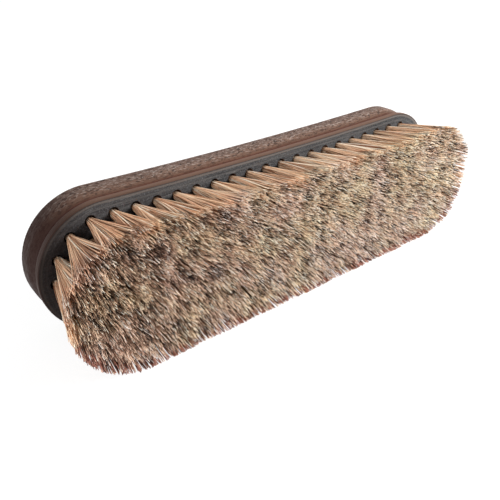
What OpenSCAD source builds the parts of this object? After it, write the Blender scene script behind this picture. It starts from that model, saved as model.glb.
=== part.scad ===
// Shoe shine brush with an oval two-layer wooden block and wire-drawn hair tufts.
// The brush lies on its long side: X runs along the block, the hair points to -Y,
// the back of the block faces +Y and +Z is up. Z = 0 is the surface it lies on.

/* [Block] */
// Length of the wooden block
block_l = 170; // [150:1:210]
// Width of the block across its round ends
block_w = 43; // [42:1:60]
// How far each long side is drawn in at the middle
waist = 0.9; // [0:0.1:2.5]
// Thickness of the back board that covers the wires
back_t = 10; // [8:0.5:16]
// Thickness of the stock board that holds the tufts
stock_t = 4; // [3.8:0.1:6]

/* [Edges] */
// Depth of the finger groove where the two boards meet
groove_d = 1; // [0.4:0.1:1.5]
// Height of the groove's long slope, on the back board
groove_back = 5; // [3:0.5:6]
// Height of the groove's short slope, on the stock board
groove_stock = 2.2; // [1:0.1:3]
// Radius of the rounded edge of the back
back_round = 1.2; // [0.5:0.1:2]
// Chamfer round the hair face of the stock
face_chamfer = 0.3; // [0.2:0.1:0.7]

/* [Tuft holes] */
// Distance from the block's edge to the middle of the outer tufts
rim = 5; // [4:0.1:5.5]
// Distance between one ring of tufts and the next
row_gap = 6.6; // [5.8:0.1:7]
// Spacing of the tufts along the outer ring
outer_pitch = 7; // [6.8:0.1:10]
// Spacing of the tufts along the two inner rings
inner_pitch = 8; // [6.8:0.1:10]
// Diameter of a tuft hole
bore_d = 3.6; // [3.4:0.1:4]
// Depth of a tuft hole
bore_depth = 2.7; // [2.6:0.1:2.9]
// Diameter of the small hole that the wire comes through
wire_hole_d = 2.4; // [2.3:0.1:2.8]

/* [Wire] */
// Thickness of the drawing wire
wire_d = 0.6; // [0.4:0.05:0.7]
// Width of the channel for the wire in the stock's back
channel_w = 1.2; // [1:0.1:1.6]
// Depth of that channel
channel_d = 0.8; // [0.8:0.05:1]

/* [Hair] */
// Reach of the hair tips in front of the stock, at mid width
hair_reach = 21.8; // [15:0.1:35]
// Outward spread of the tips, as a share of a ring's radius
spread = 0.2; // [0.1:0.01:0.3]
// Slope of the worn tip face, in degrees
wear = 3; // [0:0.5:5]
// Share of its room on the tip face that a lock of hair fills, each way
lock_fill = 0.8; // [0.5:0.05:0.9]
// How far the lowest hair lies below the side of the block
rest_gap = 1.4; // [0.5:0.1:2]

/* [Hidden] */
$fn = 32;

// Clearance between fixed pieces that lie in one another
fit = 0.1;
// Depth of the flat that the lowest hair is pressed to
rest_flat = 0.5;

block_t = back_t + stock_t;
end_r = block_w / 2;
straight = block_l - block_w;

// Where the brush sits in its own frame: tips in front, back behind, table below
rest_drop = end_r + rest_gap;
tip_front = hair_reach + tan(wear) * rest_drop;
face_y = (tip_front - block_t) / 2;

// The stages of the outline, counted from +X round through +Z
END_STEPS = 36;
SIDE_STEPS = 8;

// Folded root of a tuft: two legs beside the wire, joined above it
slot_gap = 0.15;
slot_half = wire_d / 2 + slot_gap;
root_r = bore_d / 2 - fit;
root_half = sqrt(root_r * root_r - slot_half * slot_half);
fold_top = bore_depth - fit;
fold_t = bore_depth / 3;
fold_low = fold_top - fold_t;
fold_half = wire_d / 2;
fold_reach = root_r * 0.6;

// The wire's loop passes under the fold and up on both sides of it
wire_r = wire_d / 2;
loop_half = fold_half + fit + wire_r;
bar_y = fold_low - fit - wire_r;
run_y = stock_t - channel_d / 2;

// Sideways draw of the outline at x, nothing at the round ends
function draw_in(x) = waist * (1 - pow(2 * x / straight, 2));

// Outline of the block, set in from its edge
function outline(inset) = concat(
    [for (i = [0:END_STEPS]) let (a = -90 + 180 * i / END_STEPS)
        [straight / 2 + (end_r - inset) * cos(a), (end_r - inset) * sin(a)]],
    [for (i = [1:SIDE_STEPS - 1]) let (x = straight / 2 - straight * i / SIDE_STEPS)
        [x, end_r - inset - draw_in(x)]],
    [for (i = [0:END_STEPS]) let (a = 90 + 180 * i / END_STEPS)
        [-straight / 2 + (end_r - inset) * cos(a), (end_r - inset) * sin(a)]],
    [for (i = [1:SIDE_STEPS - 1]) let (x = -straight / 2 + straight * i / SIDE_STEPS)
        [x, -(end_r - inset) + draw_in(x)]]
);

// Rings of tufts, from the edge inwards
function ring_inset(ring) = rim + ring * row_gap;
function ring_r(ring) = end_r - ring_inset(ring);
function ring_pitch(ring) = ring == 0 ? outer_pitch : inner_pitch;
function side_count(ring) = max(2, round(straight / ring_pitch(ring)));
function end_count(ring) = max(1, round(PI * ring_r(ring) / ring_pitch(ring)));

// A place on a ring is [x, z, direction of the ring, tip x, tip z, room along the
// ring at the tip, radius of the ring at the tip or 0 where it runs straight]
function side_place(ring, i, side) = let (
    n = side_count(ring),
    x = side * straight * (0.5 - (i + 0.5) / n)
) [x, side * (ring_r(ring) - draw_in(x)), side > 0 ? 180 : 0,
   x, side * ring_r(ring) * (1 + spread), straight / n, 0];

function end_place(ring, i, side) = let (
    n = end_count(ring),
    a = (side > 0 ? -90 : 90) + 180 * (i + 0.5) / n,
    r = ring_r(ring),
    tip_r = r * (1 + spread)
) [side * straight / 2 + r * cos(a), r * sin(a), a + 90,
   side * straight / 2 + tip_r * cos(a), tip_r * sin(a),
   PI / n * tip_r, tip_r];

function side_places(ring, side) = [for (i = [0:side_count(ring) - 1]) side_place(ring, i, side)];
function end_places(ring, side) = [for (i = [0:end_count(ring) - 1]) end_place(ring, i, side)];
function ring_places(ring) = concat(
    end_places(ring, 1), side_places(ring, 1), end_places(ring, -1), side_places(ring, -1));

// A point across (outwards) and along the ring from a place, at depth y of the block
function beside(place, across, along, y) = [
    place[0] + across * sin(place[2]) + along * cos(place[2]),
    y,
    place[1] - across * cos(place[2]) + along * sin(place[2])
];

// Lower tips are pressed against the table, and cut flat there
tip_room = row_gap * (1 + spread) / 2;
lock_low = (1 - lock_fill) / 2;
lock_high = (1 + lock_fill) / 2;
natural_drop = ring_r(0) * (1 + spread) + lock_high * tip_room;
press = (rest_drop + rest_flat) / natural_drop;
function pressed(z) = z >= 0 ? z : max(-rest_drop, z * press);

// A point of a tuft's tip on the sloping tip face, across and along its ring
function tip_point(place, across, along) = let (
    r = place[6],
    turn = r > 0 ? along / r * 180 / PI : 0,
    out = r > 0 ? (r + across) * cos(turn) - r : across,
    on = r > 0 ? (r + across) * sin(turn) : along,
    x = place[3] + out * sin(place[2]) + on * cos(place[2]),
    z = pressed(place[4] - out * cos(place[2]) + on * sin(place[2]))
) [x, -hair_reach + tan(wear) * z, z];

// The four corners of a lock's tip, for the leg u = 1 or -1 and its half v = 1 or -1
function lock_tip(place, u, v) = let (
    room = v * place[5] / 2,
    low = u * tip_room * lock_low,
    high = u * tip_room * lock_high
) [
    tip_point(place, low, room * lock_high), tip_point(place, high, room * lock_high),
    tip_point(place, high, room * lock_low), tip_point(place, low, room * lock_low)
];

function fold_ring(place, y) = [
    beside(place, slot_half, fold_half, y), beside(place, fold_reach, 0, y),
    beside(place, slot_half, -fold_half, y), beside(place, -slot_half, -fold_half, y),
    beside(place, -fold_reach, 0, y), beside(place, -slot_half, fold_half, y)
];

// One tuft: points 0 to 5 top of the fold, 6 to 11 its underside, 12 to 15 and
// 16 to 19 the legs at the face, then four tips of four points each
function tuft_points(place) = concat(
    fold_ring(place, fold_top), fold_ring(place, fold_low),
    [for (u = [1, -1]) each [
        beside(place, u * slot_half, root_half, 0), beside(place, u * root_r, 0, 0),
        beside(place, u * slot_half, -root_half, 0), beside(place, u * slot_half, 0, 0)]],
    [for (u = [1, -1], v = [1, -1]) each lock_tip(place, u, v)]
);

// Faces of one lock on the root points p, q, r, with its tip from point t on
function lock_faces(p, q, r, t) = [
    [p, q, t + 1], [p, t + 1, t], [q, t + 2, t + 1], [q, r, t + 3], [q, t + 3, t + 2],
    [r, p, t], [r, t, t + 3], [t, t + 1, t + 2], [t, t + 2, t + 3]
];

function turned(faces) = [for (f = faces) [f[0], f[2], f[1]]];

TUFT_FACES = concat(
    [[0, 2, 1], [0, 5, 2], [2, 5, 3], [3, 5, 4]],
    [for (i = [0:5]) let (j = (i + 1) % 6) each [[i, j + 6, i + 6], [i, j, j + 6]]],
    [[6, 8, 11], [8, 9, 11]],
    [[6, 13, 12], [6, 7, 13], [7, 14, 13], [7, 8, 14]],
    [[8, 15, 14], [8, 6, 15], [6, 12, 15]],
    [[9, 17, 18], [9, 10, 17], [10, 16, 17], [10, 11, 16]],
    [[11, 19, 16], [11, 9, 19], [9, 18, 19]],
    lock_faces(12, 13, 15, 20), turned(lock_faces(14, 13, 15, 24)),
    turned(lock_faces(16, 17, 19, 28)), lock_faces(18, 17, 19, 32)
);

module in_frame() {
    translate([0, face_y, rest_drop]) children();
}

module tuft(place) {
    polyhedron(points = tuft_points(place), faces = TUFT_FACES);
}

module tufts(places) {
    color("tan") in_frame() for (place = places) tuft(place);
}

// A solid whose outline follows the block, from a profile of [inset, y] pairs
module board(profile) {
    n = len(outline(0));
    points = [for (p = profile) for (q = outline(p[0])) [q[0], p[1], q[1]]];
    walls = [for (k = [0:len(profile) - 2], i = [0:n - 1])
        let (j = (i + 1) % n)
        each [[k * n + i, k * n + j, k * n + n + j], [k * n + i, k * n + n + j, k * n + n + i]]];
    last = (len(profile) - 1) * n;
    polyhedron(
        points = points,
        faces = concat(walls, [[for (i = [n - 1:-1:0]) i], [for (i = [0:n - 1]) last + i]]));
}

// Half a wave from the bottom of the groove out to the full width
function groove_inset(share) = groove_d * (0.5 + 0.5 * cos(180 * share));

back_profile = concat(
    [for (i = [0:5]) [groove_inset(i / 5), stock_t + groove_back * i / 5]],
    [for (a = [0:30:90]) [back_round * (1 - cos(a)), block_t - back_round * (1 - sin(a))]]
);
stock_profile = concat(
    [[face_chamfer, 0], [0, face_chamfer]],
    [for (i = [0:3]) [groove_inset(1 - i / 3), stock_t - groove_stock * (1 - i / 3)]]
);

module back_board() {
    color("sienna") in_frame() board(back_profile);
}

// Stepped hole: wide for the tuft from the face, narrow for the wire from the back
module tuft_hole(place) {
    translate([place[0], 0, place[1]]) rotate([-90, 0, 0]) {
        translate([0, 0, -1]) cylinder(d = bore_d, h = bore_depth + 1);
        cylinder(d = wire_hole_d, h = stock_t + 1);
    }
}

// Channel in the stock's back from one hole to the next
module channel(from, to) {
    a = beside(from, 0, loop_half, 0);
    b = beside(to, 0, -loop_half, 0);
    run = norm(b - a);
    translate([a[0], stock_t - channel_d, a[2]])
        rotate([0, -atan2(b[2] - a[2], b[0] - a[0]), 0])
        translate([-channel_w / 2, 0, -channel_w / 2])
        cube([run + channel_w, channel_d + 1, channel_w]);
}

module stock_board() {
    color("darkslategray") in_frame() difference() {
        board(stock_profile);
        for (ring = [0:2]) {
            places = ring_places(ring);
            n = len(places);
            for (i = [0:n - 1]) {
                tuft_hole(places[i]);
                channel(places[i], places[(i + 1) % n]);
            }
        }
    }
}

// One continuous wire: along the channel, down and under each fold, and up again
module drawing_wire(ring) {
    places = ring_places(ring);
    n = len(places);
    corners = [for (p = places, c = [0:3]) let (
            along = c < 2 ? -loop_half : loop_half,
            lean = c < 2 ? wire_r : -wire_r,
            y = c == 0 || c == 3 ? run_y : bar_y
        ) each [
            beside(p, 0, along + lean, y + wire_r), beside(p, wire_r, along, y),
            beside(p, 0, along - lean, y - wire_r), beside(p, -wire_r, along, y)
        ]];
    walls = [for (s = [0:4 * n - 1], k = [0:3])
        let (t = (s + 1) % (4 * n), m = (k + 1) % 4)
        each [[4 * s + k, 4 * s + m, 4 * t + m], [4 * s + k, 4 * t + m, 4 * t + k]]];
    color("goldenrod") in_frame() polyhedron(points = corners, faces = walls);
}

back_board();
stock_board();
drawing_wire(0);  // drawing_wire_outer
drawing_wire(1);  // drawing_wire_middle
drawing_wire(2);  // drawing_wire_inner
tufts(side_places(0, 1));  // tufts_outer_upper
tufts(side_places(0, -1));  // tufts_outer_lower
tufts(end_places(0, -1));  // tufts_outer_left
tufts(end_places(0, 1));  // tufts_outer_right
tufts(side_places(1, 1));  // tufts_middle_upper
tufts(side_places(1, -1));  // tufts_middle_lower
tufts(end_places(1, -1));  // tufts_middle_left
tufts(end_places(1, 1));  // tufts_middle_right
tufts(side_places(2, 1));  // tufts_inner_upper
tufts(side_places(2, -1));  // tufts_inner_lower
tufts(end_places(2, -1));  // tufts_inner_left
tufts(end_places(2, 1));  // tufts_inner_right
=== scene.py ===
import math

import bpy
import numpy as np
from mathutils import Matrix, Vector


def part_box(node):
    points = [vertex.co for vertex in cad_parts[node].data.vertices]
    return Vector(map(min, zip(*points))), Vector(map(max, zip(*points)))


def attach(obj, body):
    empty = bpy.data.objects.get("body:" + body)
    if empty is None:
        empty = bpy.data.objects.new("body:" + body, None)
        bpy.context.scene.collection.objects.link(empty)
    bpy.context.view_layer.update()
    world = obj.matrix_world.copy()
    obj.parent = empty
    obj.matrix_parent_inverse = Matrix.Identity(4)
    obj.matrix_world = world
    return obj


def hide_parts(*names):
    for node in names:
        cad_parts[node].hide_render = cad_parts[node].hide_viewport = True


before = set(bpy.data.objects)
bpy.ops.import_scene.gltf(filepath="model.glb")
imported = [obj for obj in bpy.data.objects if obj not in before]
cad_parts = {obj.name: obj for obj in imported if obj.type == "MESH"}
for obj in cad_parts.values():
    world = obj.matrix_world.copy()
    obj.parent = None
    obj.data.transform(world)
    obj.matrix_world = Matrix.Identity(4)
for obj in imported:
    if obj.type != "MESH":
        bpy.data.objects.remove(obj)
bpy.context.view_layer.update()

MM = 0.001
WHITE = (1.0, 1.0, 1.0)

# The block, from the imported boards: places in metres, sizes in millimetres
BOARD_LOW, BOARD_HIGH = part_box("back_board")
FACE_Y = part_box("stock_board")[0].y
SEAM_Y = BOARD_LOW.y
BACK_Y = BOARD_HIGH.y
CENTRE_Z = (BOARD_LOW.z + BOARD_HIGH.z) / 2
END_R = (BOARD_HIGH.z - BOARD_LOW.z) / 2 / MM
STRAIGHT = (BOARD_HIGH.x - BOARD_LOW.x) / MM - 2 * END_R
REST_DROP = CENTRE_Z / MM

# The rows of tufts, as in the part's source, in millimetres from the middle of the hair face
RINGS = ("outer", "middle", "inner")
SIDES = ("upper", "lower", "left", "right")
WAIST = 0.9
RIM = 5.0
ROW_GAP = 6.6
PITCHES = (7.0, 8.0, 8.0)
HAIR_REACH = 21.8
SPREAD = 0.2
WEAR = math.tan(math.radians(3.0))

# The tips' spread past the ends, and how much squarer the tip face is at an end's upper corner
END_SPREAD = {"left": 0.17, "right": 0.1}
CORNER = {"left": 0.0, "right": 0.12}

# A hair in its hole: the fold over the wire, and a leg beside the wire. Roots are listed by ring
HAIR_R = 0.142
FOLD_Y = 1.8
FOLD_T = 0.6
FOLD_ON = 0.25
LEG_Y = 1.2
LEG_OUT = 0.45
OUTER_LEG_SPREAD = 0.3
ROOT_CROWDING = 0.6
ROOT_R = (1.25, 1.3, 1.3)
ROOT_SHIFT = (-0.35, 0.0, 0.0)

# Hairs in a tuft by ring, and the steps of their lines, where 0 is the face and 1 is the tip
HAIRS = (248, 320, 320)
INSIDE = (-0.1, -0.05)
OUTER_STEPS = (0.0, 0.14, 0.36, 0.66, 0.86, 1.0)
HIDDEN_STEPS = (0.0, 0.3, 0.65, 0.87, 1.0)
STEPS = (OUTER_STEPS, HIDDEN_STEPS, HIDDEN_STEPS)

# How hairs gather in clumps and fine locks towards their tips, in shares of a tuft's half width
CLUMPS = 12
CLUMP_REACH = 0.95
CLUMP_PULL = 0.55
TIP_JITTER = 0.2
LOCKS = 200
LOCK_REACH = 1.15
LOCK_PULL = 0.25
STRAY_SHARE = 0.05
STRAY_FAR = 0.5

# Where a change begins in millimetres, and over how many more it comes to its full strength
RIM_FROM = (1.2, 1.6)
PINK_FROM = (0.8, 1.6)
PEACH_FROM = (-0.8, 2.2)
PEACH_OVER = 12
UPPER_FROM = (0, 18)
HIGH_FROM = (-4, 12)
LOW_FROM = (4, -12)
LEFT_FROM = (0, -60)

# How far tips spread across and along a row, and how outer tips bunch past a limit, in millimetres
TIPS_ACROSS = 1.45
TIPS_ON = 1.15
TIPS_WIDE = {"upper": 1.65, "lower": 1.65, "left": 1.4, "right": 1.4}
RIM_LIMIT = {"upper": 1.8, "lower": 2.6, "left": 2.8, "right": 2.2}
RIM_PAST = {"upper": 1.6, "lower": 0.5, "left": 0.5, "right": 0.5}
RIM_SOFT = 2.4
RIM_FRAY = 0.45

# By how many millimetres the upper side's hair stands less far out than the CAD's tufts, and where
DRAWN_IN_AT = (-75, -30, 30, 62, 80)
DRAWN_IN_BY = (1.6, 2.8, 2.8, 1.8, 0.2)

# How far hairs reach past HAIR_REACH in millimetres: the mean, how far they differ by patch, clump
# and hair, the most, and how much shorter the shortest hairs are, inside and at the rim
MEAN_LONG = 0.6
PATCH_LONG = 0.3
CLUMP_LONG = 0.4
HAIR_LONG = 0.3
LONGEST = 0.9
MOST_SHORT = 3.3
RIM_MOST_SHORT = 1.0

# The waves that make up patches, as steps per millimetre along x and z and a start, and their peak
PATCH_WAVES = (
    (0.11, 0.17, 0.3),
    (-0.21, 0.26, 1.9),
    (0.34, -0.12, 4.1),
    (0.09, 0.43, 2.6),
    (-0.47, -0.31, 5.2),
)
PATCH_PEAK = 2.4

# How hairs bend on their way out
LEAN_POWER = (0.85, 1.1)
FAN_POWER = (1.0, 1.3)
SWAY = 0.18
SWAY_WAVES = (0.7, 1.6)
HOOK = 0.25
HOOK_POWER = 5
RIM_STIFF = 0.6

# Thickness along a hair and from hair to hair, and how much thicker the lower rim's tips are
TAPER_AT = (0.0, 0.3, 0.75, 1.0)
TAPER = (0.75, 1.0, 1.0, 0.55)
THICKNESSES = (0.75, 1.25)
LOW_RIM_THICK = 0.35
THICK_POWER = 4

# Tones of hair, as places on the colour ramps of horsehair: the mean, and how far they differ by
# patch, towards the left end, where they darken as painted shade, by lock and by hair
MEAN_TONE = 0.52
PATCH_TONE = 0.1
LEFT_SHADE_TONE = 0.2
LOCK_TONE = 0.27
HAIR_TONE = 0.1

# Near black, cream and pinkish hairs: their tones, their shares, and how the shares differ by place
DARK_TONES = (0.02, 0.14)
CREAM_TONES = (0.8, 0.92)
PINK_TONES = (0.95, 0.99)
LOCK_KIND_SHARE = 0.5
DARK_SHARE = 0.24
PATCH_DARK = 0.06
LEFT_DARK = 0.12
RIM_DARK = 0.15
CREAM_FROM = 0.8
LEFT_CREAM = 0.08
PINK_SHARE = 0.8
HIGH_PINK = 0.03

# Outer hairs keep the peach of their roots for longer, in patches, above a height for each side
PEACH_LONG = 0.34
PEACH_SHARE = 0.6
PEACH_PATCH = 0.6
PEACH_HAIR = 0.2
PEACH_ABOVE = {"upper": -4.0, "lower": -4.0, "left": -14.0, "right": -14.0}

# How far a strand's section is turned for each step of its tone, and how its corners differ in tone
SECTION_TURN = 40
SECTION_TONE = 0.003

# The strip along a board, in millimetres, over which its colour darkens towards the left, as painted
# shade of the end that faces away from the key light
LEFT_SHADE_FADE = (-75.0, -15.0)

# The photograph's camera, and how pale the world and the floor are, as lit and as seen
CAMERA_PLACE = (-0.11889, -0.13410, 0.11363)
CAMERA_LENS = 40.75
CAMERA_AZIMUTH = -0.665
CAMERA_ELEVATION = 0.538
WORLD_LIGHT = 0.38
FLOOR_GREY = 0.66
FLOOR_SEEN_GREY = 0.25
FLOOR_SEEN_GLOW = 0.86

SEED = 20417
SHARP_TURN = math.radians(40)
WELD_GAP = 0.001 * MM


class Nodes:
    """A material's node tree, with short calls for the nodes that the finishes use."""

    def __init__(self, name):
        self.material = bpy.data.materials.new(name)
        self.material.use_nodes = True
        self.tree = self.material.node_tree
        self.tree.nodes.clear()
        self.shader = self.add("ShaderNodeBsdfPrincipled")
        output = self.add("ShaderNodeOutputMaterial")
        self.tree.links.new(self.shader.outputs[0], output.inputs["Surface"])

    def add(self, kind, **settings):
        node = self.tree.nodes.new(kind)
        for key, value in settings.items():
            setattr(node, key, value)
        return node

    def feed(self, socket, value):
        if isinstance(value, bpy.types.NodeSocket):
            self.tree.links.new(value, socket)
        elif isinstance(value, tuple) and len(value) == 3 and socket.type == "RGBA":
            socket.default_value = (*value, 1.0)
        else:
            socket.default_value = value

    def math(self, operation, a, b=0.0, c=0.0):
        node = self.add("ShaderNodeMath", operation=operation)
        for socket, value in zip(node.inputs, (a, b, c)):
            self.feed(socket, value)
        return node.outputs[0]

    def distance(self, value, place):
        return self.math("ABSOLUTE", self.math("SUBTRACT", value, place))

    def vector(self, operation, a, b):
        node = self.add("ShaderNodeVectorMath", operation=operation)
        self.feed(node.inputs[0], a)
        self.feed(node.inputs[1], b)
        return node.outputs[0]

    def combine(self, x, y, z):
        node = self.add("ShaderNodeCombineXYZ")
        for socket, value in zip(node.inputs, (x, y, z)):
            self.feed(socket, value)
        return node.outputs[0]

    def split(self, vector):
        node = self.add("ShaderNodeSeparateXYZ")
        self.feed(node.inputs[0], vector)
        return node.outputs

    def here(self):
        return self.add("ShaderNodeTexCoord").outputs["Object"]

    def here_in_mm(self):
        return self.vector("MULTIPLY", self.here(), (1 / MM,) * 3)

    def noise(self, vector, scale, detail=3.0, rough=0.6):
        node = self.add("ShaderNodeTexNoise")
        self.feed(node.inputs["Vector"], vector)
        node.inputs["Scale"].default_value = scale
        node.inputs["Detail"].default_value = detail
        node.inputs["Roughness"].default_value = rough
        return node.outputs["Fac"]

    def streaks(self, vector, scales, detail=3.0, rough=0.6):
        """Noise with a scale of its own along each axis, for grain."""
        return self.noise(self.vector("MULTIPLY", vector, scales), 1.0, detail, rough)

    def spread(self, value, low, high, to_low=0.0, to_high=1.0):
        node = self.add("ShaderNodeMapRange", interpolation_type="SMOOTHSTEP")
        for key, number in zip(range(5), (value, low, high, to_low, to_high)):
            self.feed(node.inputs[key], number)
        return node.outputs[0]

    def ramp(self, value, stops):
        node = self.add("ShaderNodeValToRGB")
        elements = node.color_ramp.elements
        for place, colour in stops[2:]:
            elements.new(place)
        for element, (place, colour) in zip(elements, stops):
            element.position = place
            element.color = (*colour, 1.0)
        self.feed(node.inputs[0], value)
        return node.outputs[0]

    def mix(self, share, a, b, blend="MIX"):
        node = self.add("ShaderNodeMix", data_type="RGBA", blend_type=blend)
        self.feed(node.inputs["Factor"], share)
        self.feed(node.inputs[6], a)
        self.feed(node.inputs[7], b)
        return node.outputs[2]

    def bump(self, height, strength, distance):
        node = self.add("ShaderNodeBump")
        node.inputs["Strength"].default_value = strength
        node.inputs["Distance"].default_value = distance
        self.feed(node.inputs["Height"], height)
        self.feed(self.shader.inputs["Normal"], node.outputs[0])

    def coat(self, colour, rough, specular):
        """Feeds the shader's colour and roughness, and sets its specular level."""
        self.feed(self.shader.inputs["Base Color"], colour)
        self.feed(self.shader.inputs["Roughness"], rough)
        self.shader.inputs["Specular IOR Level"].default_value = specular


def srgb(red, green, blue):
    """A colour as written in 0 to 255 steps, in the linear values that Blender takes."""
    return tuple(
        value / 12.92 if value <= 0.04045 else ((value + 0.055) / 1.055) ** 2.4
        for value in (red / 255, green / 255, blue / 255)
    )


def board_places(nodes):
    """Places on a board: on its middle line, from it, along its edge, through it and round its ends.

    They are in millimetres, but for the last, which is -1 at the left tip and 1 at the right tip.
    """
    x, y, z = nodes.split(nodes.here_in_mm())
    across = nodes.math("SUBTRACT", z, CENTRE_Z / MM)
    on = nodes.math("MINIMUM", nodes.math("MAXIMUM", x, -STRAIGHT / 2), STRAIGHT / 2)
    past = nodes.math("SUBTRACT", x, on)
    squares = (nodes.math("MULTIPLY", value, value) for value in (past, across))
    radius = nodes.math("SQRT", nodes.math("ADD", *squares))
    turn = nodes.math("ARCTAN2", past, nodes.math("ABSOLUTE", across))
    along = nodes.math("ADD", on, nodes.math("MULTIPLY", turn, END_R))
    end = nodes.math("DIVIDE", past, END_R)
    return on, radius, along, y, end


def edge_inset(nodes, on, radius):
    """How far inside the waisted edge of the hair face a point lies, in millimetres."""
    reach = nodes.math("DIVIDE", on, STRAIGHT / 2)
    bulge = nodes.math("SUBTRACT", 1.0, nodes.math("MULTIPLY", reach, reach))
    waist = nodes.math("MULTIPLY", bulge, WAIST)
    return nodes.math("SUBTRACT", nodes.math("SUBTRACT", END_R, waist), radius)


def wavy_share(nodes, place, y, low, high, scales, wave):
    """How far a point lies from low to high through a board, on lines that wave by half of wave."""
    lift = nodes.math("SUBTRACT", nodes.streaks(place, scales, 2.0), 0.5)
    depth = nodes.math("ADD", y, nodes.math("MULTIPLY", lift, wave))
    return nodes.math("DIVIDE", nodes.math("SUBTRACT", depth, low), high - low)


def grained(nodes, colour, grain, share, dark):
    """A colour with the grain's dark lines in it."""
    lines = nodes.ramp(grain, [(0.3, dark), (0.7, WHITE)])
    return nodes.mix(share, colour, lines, "MULTIPLY")


def stained_wood():
    """Brown stained back board: speckled side wall, a dark seam line with painted shade of the crease
    beside it, a dark back edge, and painted shade towards the left and round the left end.
    """
    nodes = Nodes("stained_wood")
    _, radius, along, y, end = board_places(nodes)
    low, high = SEAM_Y / MM, BACK_Y / MM
    place = nodes.combine(along, y, radius)
    share = wavy_share(nodes, place, y, low, high, (0.05, 0.4, 0.4), 0.8)
    # From the seam: a dark seam line, with painted shade of the crease fading out over the first third
    band = nodes.ramp(share, [
        (0.0, srgb(78, 41, 32)),
        (0.05, srgb(100, 60, 45)),
        (0.14, srgb(115, 85, 69)),
        (0.3, srgb(128, 101, 87)),
        (0.6, srgb(129, 105, 93)),
        (0.74, srgb(120, 95, 84)),
        (0.82, srgb(97, 69, 58)),
        (0.88, srgb(134, 106, 89)),
        (0.96, srgb(104, 76, 61)),
        (1.0, srgb(89, 61, 48)),
    ])
    grain = nodes.streaks(place, (0.12, 2.2, 2.2), 5.0, 0.65)
    colour = grained(nodes, band, grain, 0.85, (0.42, 0.36, 0.34))
    # Dark and pale specks, fewer at the seam, and fainter pale ones on the flat back
    specks = nodes.streaks(place, (0.6, 1.2, 1.2), 3.0, 0.68)
    off_seam = nodes.spread(share, 0.02, 0.35, 0.4, 0.95)
    dark_here = nodes.math("MULTIPLY", nodes.spread(specks, 0.5, 0.62), off_seam)
    colour = nodes.mix(dark_here, colour, srgb(52, 40, 36))
    pale = nodes.streaks(place, (0.75, 1.5, 1.5), 3.0, 0.68)
    pale_here = nodes.math("MULTIPLY", nodes.spread(pale, 0.52, 0.62), nodes.spread(share, 0.1, 0.45))
    off_back = nodes.spread(y, high - 0.06, high - 0.02, 0.75, 0.3)
    colour = nodes.mix(nodes.math("MULTIPLY", pale_here, off_back), colour, srgb(172, 156, 146))
    # Painted shade: darker towards the left, and nearly black brown round the left end, which faces
    # away from the key light
    colour = nodes.mix(nodes.spread(along, *LEFT_SHADE_FADE, 0.3, 0.0), colour, srgb(62, 44, 37))
    left_end_shade = nodes.mix(0.97, colour, srgb(36, 14, 9))
    colour = nodes.mix(nodes.spread(end, -0.8, -0.02, 0.95, 0.0), colour, left_end_shade)
    nodes.coat(colour, nodes.spread(specks, 0.3, 0.7, 0.46, 0.66), 0.1)
    nodes.bump(nodes.math("ADD", grain, nodes.math("MULTIPLY", specks, 0.6)), 0.35, 0.15 * MM)
    return nodes.material


def stock_face(nodes, inset, scratch):
    """The grey-black hair face: grain, specks, scratches, a pale worn line by its edge that is also a
    painted highlight of the arris, a fainter pale line further in, and a dark arris.
    """
    flat = nodes.here_in_mm()
    grain = nodes.streaks(flat, (0.07, 1.0, 1.6), 5.0, 0.7)
    greys = [(0.28, srgb(42, 42, 43)), (0.5, srgb(64, 64, 65)), (0.74, srgb(94, 94, 94))]
    colour = nodes.ramp(grain, greys)
    specks = nodes.noise(flat, 2.0, 3.0, 0.75)
    colour = nodes.mix(nodes.spread(specks, 0.5, 0.62, 0.0, 0.55), colour, srgb(118, 119, 122))
    colour = nodes.mix(nodes.spread(scratch, 0.62, 0.7, 0.0, 0.5), colour, srgb(140, 138, 136))
    # Pale worn line by the edge, also a painted highlight of the arris
    wear_and_highlight_gap = nodes.distance(inset, 0.85)
    colour = nodes.mix(nodes.spread(wear_and_highlight_gap, 0.1, 0.5, 0.6, 0.0), colour, srgb(124, 116, 110))
    line = nodes.distance(inset, 2.5)
    colour = nodes.mix(nodes.spread(line, 0.05, 0.4, 0.3, 0.0), colour, srgb(116, 114, 112))
    return nodes.mix(nodes.spread(inset, 0.3, 0.6, 0.8, 0.0), colour, srgb(62, 48, 42))


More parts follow.
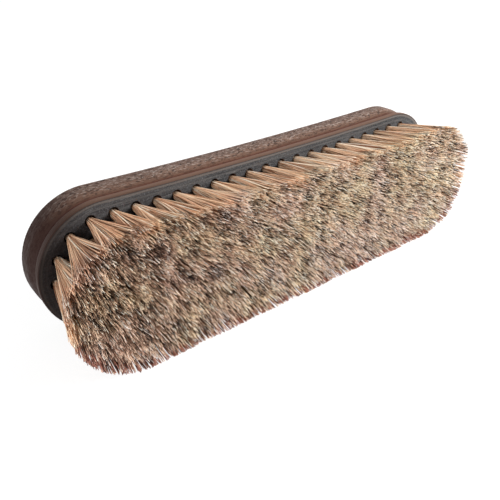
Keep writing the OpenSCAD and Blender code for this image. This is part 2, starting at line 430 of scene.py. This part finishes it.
def dark_wood():
    """Dark stained stock board: grey-black hair face, a reddish lip between it and the seam that
    darkens into a dark seam line with painted shade of the crease, and painted shade towards the left.
    """
    nodes = Nodes("dark_wood")
    on, radius, along, y, end = board_places(nodes)
    low, high = FACE_Y / MM, SEAM_Y / MM
    place = nodes.combine(along, y, radius)
    share = wavy_share(nodes, place, y, low, high, (0.08, 0.6, 0.6), 0.5)
    # Towards the seam the lip darkens: a dark seam line, with painted shade of the crease
    band = nodes.ramp(share, [
        (0.0, srgb(86, 61, 48)),
        (0.12, srgb(105, 79, 65)),
        (0.3, srgb(123, 93, 77)),
        (0.55, srgb(121, 87, 71)),
        (0.75, srgb(106, 68, 53)),
        (0.92, srgb(86, 50, 38)),
        (1.0, srgb(67, 35, 26)),
    ])
    grain = nodes.streaks(place, (0.1, 2.4, 2.4), 5.0, 0.65)
    side = grained(nodes, band, grain, 0.5, (0.5, 0.46, 0.44))
    scratch = nodes.streaks(place, (0.16, 1.0, 5.0), 2.0, 0.5)
    face = stock_face(nodes, edge_inset(nodes, on, radius), scratch)
    on_side = nodes.spread(y, low + 0.02, low + 0.12)
    colour = nodes.mix(on_side, face, side)
    # Painted shade: darker towards the left, and nearly black round the left end, which faces away
    # from the key light
    colour = nodes.mix(nodes.spread(along, *LEFT_SHADE_FADE, 0.25, 0.0), colour, srgb(44, 34, 31))
    left_end_shade_dark = nodes.mix(on_side, srgb(26, 18, 17), srgb(32, 15, 11))
    left_end_shade = nodes.mix(nodes.math("MULTIPLY_ADD", on_side, 0.14, 0.8), colour, left_end_shade_dark)
    colour = nodes.mix(nodes.spread(end, -0.7, -0.02, 0.9, 0.0), colour, left_end_shade)
    nodes.coat(colour, nodes.spread(grain, 0.3, 0.7, 0.46, 0.64), 0.1)
    nodes.bump(nodes.math("ADD", grain, nodes.math("MULTIPLY", scratch, -0.5)), 0.3, 0.12 * MM)
    return nodes.material


def drawn_brass():
    """Brass wire with fine lines along it and dull patches."""
    nodes = Nodes("drawn_brass")
    dull = nodes.streaks(nodes.here(), (900.0, 2400.0, 2400.0))
    colour = nodes.ramp(dull, [(0.3, srgb(150, 118, 62)), (0.7, srgb(206, 172, 104))])
    nodes.feed(nodes.shader.inputs["Base Color"], colour)
    nodes.feed(nodes.shader.inputs["Roughness"], nodes.spread(dull, 0.3, 0.7, 0.5, 0.28))
    nodes.shader.inputs["Metallic"].default_value = 1.0
    nodes.bump(dull, 0.2, 0.02 * MM)
    return nodes.material


def horsehair():
    """Hair from peach roots to tips of its own tone: near black, taupe, cream or pinkish brown."""
    nodes = Nodes("horsehair")
    tone, run, _ = nodes.split(nodes.add("ShaderNodeUVMap", uv_map="Strand").outputs["UV"])
    roots = nodes.ramp(tone, [
        (0.0, srgb(136, 88, 62)),
        (0.14, srgb(176, 128, 98)),
        (0.24, srgb(248, 202, 166)),
        (0.6, srgb(243, 209, 175)),
        (0.88, srgb(255, 246, 228)),
        (1.0, srgb(255, 228, 198)),
    ])
    tips = nodes.ramp(tone, [
        (0.0, srgb(24, 17, 15)),
        (0.13, srgb(48, 36, 31)),
        (0.24, srgb(190, 157, 138)),
        (0.45, srgb(245, 217, 192)),
        (0.65, srgb(255, 239, 214)),
        (0.8, srgb(255, 248, 232)),
        (0.9, srgb(255, 254, 248)),
        (0.95, srgb(176, 124, 106)),
        (1.0, srgb(130, 84, 74)),
    ])
    colour = nodes.mix(nodes.spread(run, 0.6, 0.92), roots, tips)
    # Dark bands on some tips
    place = nodes.combine(nodes.math("MULTIPLY", tone, 90.0), nodes.math("MULTIPLY", run, 9.0), 0.0)
    streak = nodes.noise(place, 1.0, 2.0)
    band = nodes.mix(0.8, colour, srgb(62, 45, 36))
    banded = nodes.mix(nodes.spread(streak, 0.53, 0.64), colour, band)
    colour = nodes.mix(nodes.spread(run, 0.6, 0.9), colour, banded)
    # Painted shade: dark inside the hole and just out of it
    colour = nodes.mix(nodes.spread(run, -0.05, 0.05, 0.85, 0.0), colour, srgb(58, 38, 28))
    # Patches of the tip face with a yellower or pinker tint
    cast = nodes.noise(nodes.here(), 55.0, 2.0, 0.5)
    tint = nodes.ramp(cast, [(0.38, srgb(255, 252, 240)), (0.62, srgb(255, 246, 246))])
    tinted = nodes.mix(1.0, colour, tint, "MULTIPLY")
    colour = nodes.mix(nodes.spread(run, 0.4, 0.8), colour, tinted)
    nodes.coat(colour, nodes.spread(streak, 0.3, 0.7, 0.42, 0.62), 0.18)
    nodes.shader.inputs["Sheen Weight"].default_value = 0.25
    nodes.shader.inputs["Sheen Roughness"].default_value = 0.4
    nodes.shader.inputs["Sheen Tint"].default_value = (*srgb(255, 216, 182), 1.0)
    return nodes.material


def long_row(radius, pitch, sign):
    """The tufts of a long side, as tuft_places gives them. Their tips lie on no curve."""
    count = round(STRAIGHT / pitch)
    x = sign * STRAIGHT * (0.5 - (np.arange(count) + 0.5) / count)
    z = sign * (radius - WAIST * (1 - (2 * x / STRAIGHT) ** 2))
    way = np.full(count, math.pi if sign > 0 else 0.0)
    tip_z = np.full(count, sign * radius * (1 + SPREAD))
    return x, z, way, x, tip_z, np.full(count, STRAIGHT / count), np.zeros(count)


def end_row(radius, pitch, sign, side):
    """The tufts round an end, as tuft_places gives them."""
    count = max(1, round(math.pi * radius / pitch))
    turn = (-sign * math.pi / 2) + math.pi * (np.arange(count) + 0.5) / count
    tip_r = radius * (1 + SPREAD)
    middle = sign * STRAIGHT / 2
    square = 1 + CORNER[side] * np.clip(np.sin(2 * sign * turn), 0, 1)
    tip_across = radius * (1 + END_SPREAD[side]) * square
    return (
        middle + radius * np.cos(turn),
        radius * np.sin(turn),
        turn + math.pi / 2,
        middle + tip_across * np.cos(turn),
        tip_r * np.sin(turn),
        np.full(count, math.pi / count * tip_r),
        np.full(count, tip_r),
    )


def tuft_places(ring, side):
    """Arrays with a value for each tuft of a row, in millimetres from the middle of the hair face.

    They are the root's x and z, the direction of the row, the tip's x and z, the room along the row at
    the tip, and the radius of the curve that the tips lie on, which is 0 where it is straight.
    """
    radius = END_R - RIM - ring * ROW_GAP
    sign = 1 if side in ("upper", "right") else -1
    if side in ("upper", "lower"):
        return long_row(radius, PITCHES[ring], sign)
    return end_row(radius, PITCHES[ring], sign, side)


def patches(x, z, phase):
    """A smooth field between about -1 and 1 over the tip face, for changes from place to place."""
    total = sum(np.sin(kx * x + kz * z + start * (1 + phase)) for kx, kz, start in PATCH_WAVES)
    return total / PATCH_PEAK


def ease(value, start, length):
    """0 at the start, 1 from a length past it, which may be negative, and even between them."""
    return np.clip((value - start) / length, 0, 1)


def bent(root, end, beside, lean, fan_out):
    """The hairs' lines from root to end on one axis. Their part along the row has its own bend."""
    return root[:, None] + (end - root - beside)[:, None] * lean + beside[:, None] * fan_out


class HairRow:
    """The hair of one row of tufts, as arrays with a value for each hair.

    Places are in millimetres from the middle of the hair face. Random draws follow the calls' order.
    """

    def __init__(self, ring, side, rng):
        self.ring = ring
        self.side = side
        self.rng = rng
        self.outer = ring == 0
        places = tuft_places(ring, side)
        self.tufts = len(places[0])
        self.per_tuft = HAIRS[ring]
        self.hairs = self.tufts * self.per_tuft
        each = [np.repeat(value, self.per_tuft) for value in places]
        self.x, self.z, self.way, self.tip_x, self.tip_z, self.room, self.tip_r = each
        self.stand_in_hole()
        self.gather()
        self.place_tips()
        self.cut_tips()

    def offset(self, x, z, out, on):
        """The places that lie out from the row and on along it from x and z."""
        sine, cosine = np.sin(self.way), np.cos(self.way)
        return x + out * sine + on * cosine, z - out * cosine + on * sine

    def own(self, values, number):
        """Each hair's value, from values listed by tuft and by the number of its clump or lock."""
        return np.repeat(values, self.per_tuft, axis=0)[np.arange(self.hairs), number]

    def nearest(self, centres, places):
        """The number of the centre in its tuft that each hair lies nearest to."""
        mine = np.repeat(centres, self.per_tuft, axis=0)
        return np.linalg.norm(mine - places[:, None], axis=2).argmin(1)

    def stand_in_hole(self):
        """Stands each hair in its hole, on a disc: out from the row and on along it."""
        self.far = self.rng.random(self.hairs) ** ROOT_CROWDING
        turn = self.rng.random(self.hairs) * 2 * math.pi
        self.stand = np.stack([self.far * np.cos(turn), self.far * np.sin(turn)], 1)

    def gather(self):
        """Draws hairs together in clumps, then in fine locks that share a tone. A few stray."""
        centres = self.rng.uniform(-CLUMP_REACH, CLUMP_REACH, (self.tufts, CLUMPS, 2))
        self.clump = self.nearest(centres, self.stand)
        pull = self.rng.uniform(0.0, CLUMP_PULL, self.hairs)[:, None]
        jitter = self.rng.normal(0.0, TIP_JITTER, (self.hairs, 2))
        fan = self.stand * (1 - pull) + self.own(centres, self.clump) * pull + jitter
        centres = self.rng.uniform(-LOCK_REACH, LOCK_REACH, (self.tufts, LOCKS, 2))
        lock = self.nearest(centres, fan)
        fan += LOCK_PULL * (self.own(centres, lock) - fan)
        draws = self.rng.random((2, self.tufts, LOCKS))
        self.lock_kind, self.lock_tone = (self.own(values, lock) for values in draws)
        stray = self.rng.random(self.hairs) < STRAY_SHARE
        fan[stray] += self.rng.normal(0.0, STRAY_FAR, (stray.sum(), 2))
        self.fan = fan

    def place_tips(self):
        """Spreads the tips across the row and along it, bent round the ends as the row is."""
        across = self.fan[:, 0] * ROW_GAP * (1 + SPREAD) / 2 * TIPS_ACROSS
        on = TIPS_ON * np.tanh(self.fan[:, 1]) * self.room / 2 * TIPS_WIDE[self.side]
        if self.outer:
            limit, past = RIM_LIMIT[self.side], RIM_PAST[self.side]
            bunched = limit + past * np.tanh((across - limit) / (RIM_SOFT * past))
            across = np.where(across > limit, bunched, across)
            on += np.where(across > limit, self.rng.normal(0.0, RIM_FRAY, self.hairs), 0.0)
        curved = self.tip_r > 0
        radius = np.where(curved, self.tip_r, 1.0)
        bend = np.where(curved, on / radius, 0.0)
        out = np.where(curved, (radius + across) * np.cos(bend) - radius, across)
        on = np.where(curved, (radius + across) * np.sin(bend), on)
        self.end_x, end_z = self.offset(self.tip_x, self.tip_z, out, on)
        upper = ease(end_z, *UPPER_FROM) ** 2
        self.end_z = end_z - upper * np.interp(self.end_x, DRAWN_IN_AT, DRAWN_IN_BY)
        self.across = across
        self.on = on
        self.rim = self.outer * ease(across, *RIM_FROM)
        self.low = ease(self.end_z, *LOW_FROM)

    def cut_tips(self):
        """Sets how far out each tip reaches, and draws the bends that a clump's tips share."""
        draws = self.rng.normal(0.0, 1.0, (3, self.tufts, CLUMPS))
        clump_long, self.hook_x, self.hook_z = (self.own(values, self.clump) for values in draws)
        most_short = MOST_SHORT - (MOST_SHORT - RIM_MOST_SHORT) * self.rim
        short = most_short * self.rng.random(self.hairs) ** 2
        patch = PATCH_LONG * patches(self.end_x, self.end_z, 0.0)
        own = self.rng.normal(0.0, HAIR_LONG, self.hairs)
        long = patch + CLUMP_LONG * clump_long + own + MEAN_LONG - short
        self.end_y = -HAIR_REACH + WEAR * self.end_z - np.minimum(long, LONGEST)

    def lines_outside(self, run):
        """The hairs' lines from the face to their tips, which sway and bend over, as x, y and z."""
        root_out = ROOT_SHIFT[self.ring] + ROOT_R[self.ring] * self.stand[:, 0]
        root_on = ROOT_R[self.ring] * self.stand[:, 1]
        root_x, root_z = self.offset(self.x, self.z, root_out, root_on)
        lean = run ** self.rng.uniform(*LEAN_POWER, self.hairs)[:, None]
        fan_out = run ** self.rng.uniform(*FAN_POWER, self.hairs)[:, None]
        beside_x, beside_z = self.offset(0.0, 0.0, 0.0, self.on - root_on)
        waves = self.rng.uniform(*SWAY_WAVES, self.hairs)[:, None]
        sway = SWAY * np.sin(math.pi * run * waves) * run
        sway_turn = self.rng.random(self.hairs)[:, None] * 2 * math.pi
        loose = 1 - RIM_STIFF * self.rim
        hook_x = loose * (HOOK * self.hook_x + self.rng.normal(0.0, HOOK, self.hairs))
        hook_z = loose * (HOOK * self.hook_z + self.rng.normal(0.0, HOOK, self.hairs))
        hook = run ** HOOK_POWER
        line_x = bent(root_x, self.end_x, beside_x, lean, fan_out)
        line_z = bent(root_z, self.end_z, beside_z, lean, fan_out)
        line_x += sway * np.cos(sway_turn) + hook_x[:, None] * hook
        line_z += sway * np.sin(sway_turn) + hook_z[:, None] * hook
        return line_x, self.end_y[:, None] * run, line_z

    def lines_inside(self):
        """The hairs' points on the fold over the wire and on a leg beside it, as x, y and z."""
        out, on = self.stand[:, 0], self.stand[:, 1]
        leg = np.where(out < 0, -LEG_OUT + out, LEG_OUT + OUTER_LEG_SPREAD * out)
        fold_x, fold_z = self.offset(self.x, self.z, 0.0, FOLD_ON * on)
        leg_x, leg_z = self.offset(self.x, self.z, leg, on)
        fold_y = FOLD_Y + FOLD_T * self.far
        leg_y = np.full(self.hairs, LEG_Y)
        pairs = ((fold_x, leg_x), (fold_y, leg_y), (fold_z, leg_z))
        return tuple(np.stack(pair, 1) for pair in pairs)

    def thicknesses(self, along):
        """Half thicknesses at each step: thin at root and tip, but for the lower rim's tips."""
        low_rim = self.rim * self.low
        taper = np.interp(along, TAPER_AT, TAPER)
        taper = taper + LOW_RIM_THICK * low_rim[:, None] * along.clip(0, 1) ** THICK_POWER
        return HAIR_R * self.rng.uniform(*THICKNESSES, self.hairs)[:, None] * taper

    def paths(self, along):
        """The hairs' lines as (hairs, steps, 3), lifted to the floor, and their half thicknesses."""
        outside = self.lines_outside(np.array(STEPS[self.ring])[None])
        x, y, z = (np.concatenate(pair, 1) for pair in zip(self.lines_inside(), outside))
        thick = self.thicknesses(along)
        return np.stack([x, y, np.maximum(z, -REST_DROP + thick)], 2), thick

    def tones(self):
        """Each hair's tone: near black and cream hairs among the rest, and pink at the lower edge."""
        rng, hairs = self.rng, self.hairs
        patch = patches(self.end_x * 1.7, self.end_z * 1.7, 1.0)
        left = ease(self.end_x, *LEFT_FROM)
        # Painted shade: tones darken towards the left end
        tone = MEAN_TONE + PATCH_TONE * patch - LEFT_SHADE_TONE * left
        tone = tone + LOCK_TONE * (self.lock_tone - 0.5) + rng.normal(0.0, HAIR_TONE, hairs)
        kind = np.where(rng.random(hairs) < LOCK_KIND_SHARE, self.lock_kind, rng.random(hairs))
        high_rim = self.rim * ease(self.end_z, *HIGH_FROM)
        dark_share = (DARK_SHARE - PATCH_DARK * patch - LEFT_DARK * left) * (1 - RIM_DARK * high_rim)
        tone = np.where(kind < dark_share, rng.uniform(*DARK_TONES, hairs), tone)
        tone = np.where(kind > CREAM_FROM + LEFT_CREAM * left, rng.uniform(*CREAM_TONES, hairs), tone)
        edge = self.outer * ease(self.across, *PINK_FROM) * np.maximum(self.low, HIGH_PINK)
        tone = np.where(rng.random(hairs) < PINK_SHARE * edge, rng.uniform(*PINK_TONES, hairs), tone)
        return tone.clip(0.01, 0.99)

    def stages(self, along):
        """The way along each hair for its colours, held back where the hair stays peach for longer."""
        above = ease(self.end_z, PEACH_ABOVE[self.side], PEACH_OVER)
        peach = self.outer * ease(self.across, *PEACH_FROM) * above
        by_patch = PEACH_PATCH * patches(self.end_x * 2.3, self.end_z, 2.0)
        by_hair = self.rng.normal(0.0, PEACH_HAIR, self.hairs)
        share = np.clip(PEACH_SHARE + by_patch + by_hair, 0, 1)
        return along * (1 - PEACH_LONG * (peach * share)[:, None])


def strand_faces(steps):
    """The corners and the sizes of one closed three-sided strand's faces."""
    step, side = np.meshgrid(np.arange(steps - 1), np.arange(3), indexing="ij")
    here, there = step * 3, (step + 1) * 3
    following = (side + 1) % 3
    quads = np.stack([here + side, here + following, there + following, there + side], 2).reshape(-1)
    caps = np.array([0, 2, 1, 3 * steps - 3, 3 * steps - 2, 3 * steps - 1])
    sizes = np.concatenate([np.full((steps - 1) * 3, 4), (3, 3)])
    return np.concatenate([quads, caps]), sizes


def strand_mesh(name, lines, thick, tone, stages):
    """A mesh of closed three-sided strands. Its UV maps hold each strand's tone and its colour stages.

    The material reads Strand. OFBake is its copy for the export.
    """
    hairs, steps, _ = lines.shape
    turn = np.arange(3) * 2 * math.pi / 3 + tone[:, None] * SECTION_TURN
    ring = np.stack([np.cos(turn), np.zeros_like(turn), np.sin(turn)], 2)
    points = lines[:, :, None] + thick[:, :, None, None] * ring[:, None]
    points = points * MM + np.array([0.0, FACE_Y, CENTRE_Z])
    corners, sizes = strand_faces(steps)
    first = (np.arange(hairs) * 3 * steps)[:, None]
    all_corners = (first + corners).reshape(-1)
    all_sizes = np.tile(sizes, hairs)
    starts = np.concatenate([[0], all_sizes.cumsum()[:-1]])
    mesh = bpy.data.meshes.new(name)
    mesh.vertices.add(hairs * steps * 3)
    mesh.vertices.foreach_set("co", points.astype(np.float32).reshape(-1))
    mesh.loops.add(len(all_corners))
    mesh.loops.foreach_set("vertex_index", all_corners.astype(np.int32))
    mesh.polygons.add(len(all_sizes))
    mesh.polygons.foreach_set("loop_start", starts.astype(np.int32))
    mesh.polygons.foreach_set("loop_total", all_sizes.astype(np.int32))
    u = tone[:, None] + (corners % 3 - 1) * SECTION_TONE
    v = stages[:, corners // 3]
    places = np.stack([u, v], 2).astype(np.float32).reshape(-1)
    for map_name in ("Strand", "OFBake"):
        mesh.uv_layers.new(name=map_name).uv.foreach_set("vector", places)
    mesh.update(calc_edges=True)
    mesh.polygons.foreach_set("use_smooth", np.ones(len(all_sizes), bool))
    return mesh


def add_hair(ring, side, material, rng):
    """The hair of one row of tufts, in place of its CAD node."""
    row = HairRow(ring, side, rng)
    along = np.array([*INSIDE, *STEPS[ring]])
    lines, thick = row.paths(along)
    tone = row.tones()
    name = f"hair_{RINGS[ring]}_{side}"
    mesh = strand_mesh(name, lines, thick, tone, row.stages(along))
    mesh.materials.append(material)
    piece = bpy.data.objects.new(name, mesh)
    bpy.context.scene.collection.objects.link(piece)
    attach(piece, "root")
    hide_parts(f"tufts_{RINGS[ring]}_{side}")


def smooth_shading():
    """A modifier group that shades a mesh smooth, but for edges that turn by more than SHARP_TURN."""
    group = bpy.data.node_groups.new("smooth_shading", "GeometryNodeTree")
    group.interface.new_socket("Geometry", in_out="INPUT", socket_type="NodeSocketGeometry")
    group.interface.new_socket("Geometry", in_out="OUTPUT", socket_type="NodeSocketGeometry")
    before = group.nodes.new("NodeGroupInput")
    after = group.nodes.new("NodeGroupOutput")
    turn = group.nodes.new("GeometryNodeInputMeshEdgeAngle")
    sharp = group.nodes.new("FunctionNodeCompare")
    sharp.data_type = "FLOAT"
    sharp.operation = "GREATER_THAN"
    sharp.inputs["B"].default_value = SHARP_TURN
    normal = group.nodes.new("GeometryNodeSetMeshNormal")
    normal.mode = "SHARPNESS"
    group.links.new(turn.outputs["Unsigned Angle"], sharp.inputs["A"])
    group.links.new(before.outputs[0], normal.inputs["Mesh"])
    group.links.new(sharp.outputs[0], normal.inputs["Edge Sharpness"])
    group.links.new(normal.outputs[0], after.inputs[0])
    return group


def dress(node, material, shading):
    """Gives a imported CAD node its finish, and shades its curved walls smooth in the same shape."""
    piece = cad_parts[node]
    piece.data.materials.clear()
    piece.data.materials.append(material)
    piece.modifiers.new("weld", "WELD").merge_threshold = WELD_GAP
    piece.modifiers.new("smooth", "NODES").node_group = shading
    piece.modifiers.new("weighted", "WEIGHTED_NORMAL").keep_sharp = True


def add_floor():
    """A plain pale floor, nearly white to the camera and in reflections but for the brush's shadow."""
    bpy.ops.mesh.primitive_plane_add(size=12.0, location=(0.0, 0.0, 0.0))
    floor = bpy.context.object
    floor.name = "floor"
    nodes = Nodes("floor")
    path = nodes.add("ShaderNodeLightPath").outputs
    seen = nodes.math("MAXIMUM", path["Is Camera Ray"], path["Is Glossy Ray"])
    seen = nodes.math("MAXIMUM", seen, path["Is Transmission Ray"])
    colour = nodes.mix(seen, (FLOOR_GREY,) * 3, (FLOOR_SEEN_GREY,) * 3)
    nodes.feed(nodes.shader.inputs["Base Color"], colour)
    nodes.feed(nodes.shader.inputs["Emission Color"], WHITE)
    glow = nodes.math("MULTIPLY", seen, FLOOR_SEEN_GLOW)
    nodes.feed(nodes.shader.inputs["Emission Strength"], glow)
    nodes.shader.inputs["Roughness"].default_value = 0.9
    floor.data.materials.append(nodes.material)


def add_light(name, place, size, power):
    """A soft area light aimed at the middle of the brush."""
    light = bpy.data.lights.new(name, "AREA")
    light.shape = "DISK"
    light.size = size
    light.energy = power
    lamp = bpy.data.objects.new(name, light)
    lamp.location = place
    aim = Vector((0.0, 0.0, CENTRE_Z)) - lamp.location
    lamp.rotation_euler = aim.to_track_quat("-Z", "Y").to_euler()
    bpy.context.scene.collection.objects.link(lamp)


def add_world():
    """White to the camera and in reflections, and a plain pale light from all round."""
    world = bpy.data.worlds.new("studio")
    bpy.context.scene.world = world
    world.use_nodes = True
    tree = world.node_tree
    back = tree.nodes["Background"]
    back.inputs["Color"].default_value = (*WHITE, 1.0)
    path = tree.nodes.new("ShaderNodeLightPath")
    seen = path.outputs["Is Camera Ray"]
    for ray in ("Is Glossy Ray", "Is Transmission Ray"):
        either = tree.nodes.new("ShaderNodeMath")
        either.operation = "MAXIMUM"
        tree.links.new(seen, either.inputs[0])
        tree.links.new(path.outputs[ray], either.inputs[1])
        seen = either.outputs[0]
    strength = tree.nodes.new("ShaderNodeMapRange")
    strength.inputs["To Min"].default_value = WORLD_LIGHT
    strength.inputs["To Max"].default_value = 1.0
    tree.links.new(seen, strength.inputs["Value"])
    tree.links.new(strength.outputs[0], back.inputs["Strength"])


def add_camera():
    """The photograph's viewpoint, worked out from the block's outline in it."""
    camera = bpy.data.cameras.new("camera")
    camera.sensor_width = 36.0
    camera.lens = CAMERA_LENS
    seen_from = bpy.data.objects.new("camera", camera)
    back = Vector((
        math.sin(CAMERA_AZIMUTH) * math.cos(CAMERA_ELEVATION),
        -math.cos(CAMERA_AZIMUTH) * math.cos(CAMERA_ELEVATION),
        math.sin(CAMERA_ELEVATION),
    ))
    seen_from.location = CAMERA_PLACE
    seen_from.rotation_euler = (-back).to_track_quat("-Z", "Y").to_euler()
    bpy.context.scene.collection.objects.link(seen_from)
    bpy.context.scene.camera = seen_from


smooth = smooth_shading()
dress("back_board", stained_wood(), smooth)
dress("stock_board", dark_wood(), smooth)
brass = drawn_brass()
for ring_name in RINGS:
    dress(f"drawing_wire_{ring_name}", brass, smooth)
hair = horsehair()
random = np.random.default_rng(SEED)
for ring_number in range(len(RINGS)):
    for side_name in SIDES:
        add_hair(ring_number, side_name, hair, random)
add_floor()
add_world()
add_light("key", place=(0.42, -0.34, 0.36), size=0.22, power=5.8)
add_light("fill", place=(-0.55, -0.15, 0.16), size=0.3, power=1.5)
add_camera()
bpy.context.scene.view_settings.view_transform = "Standard"
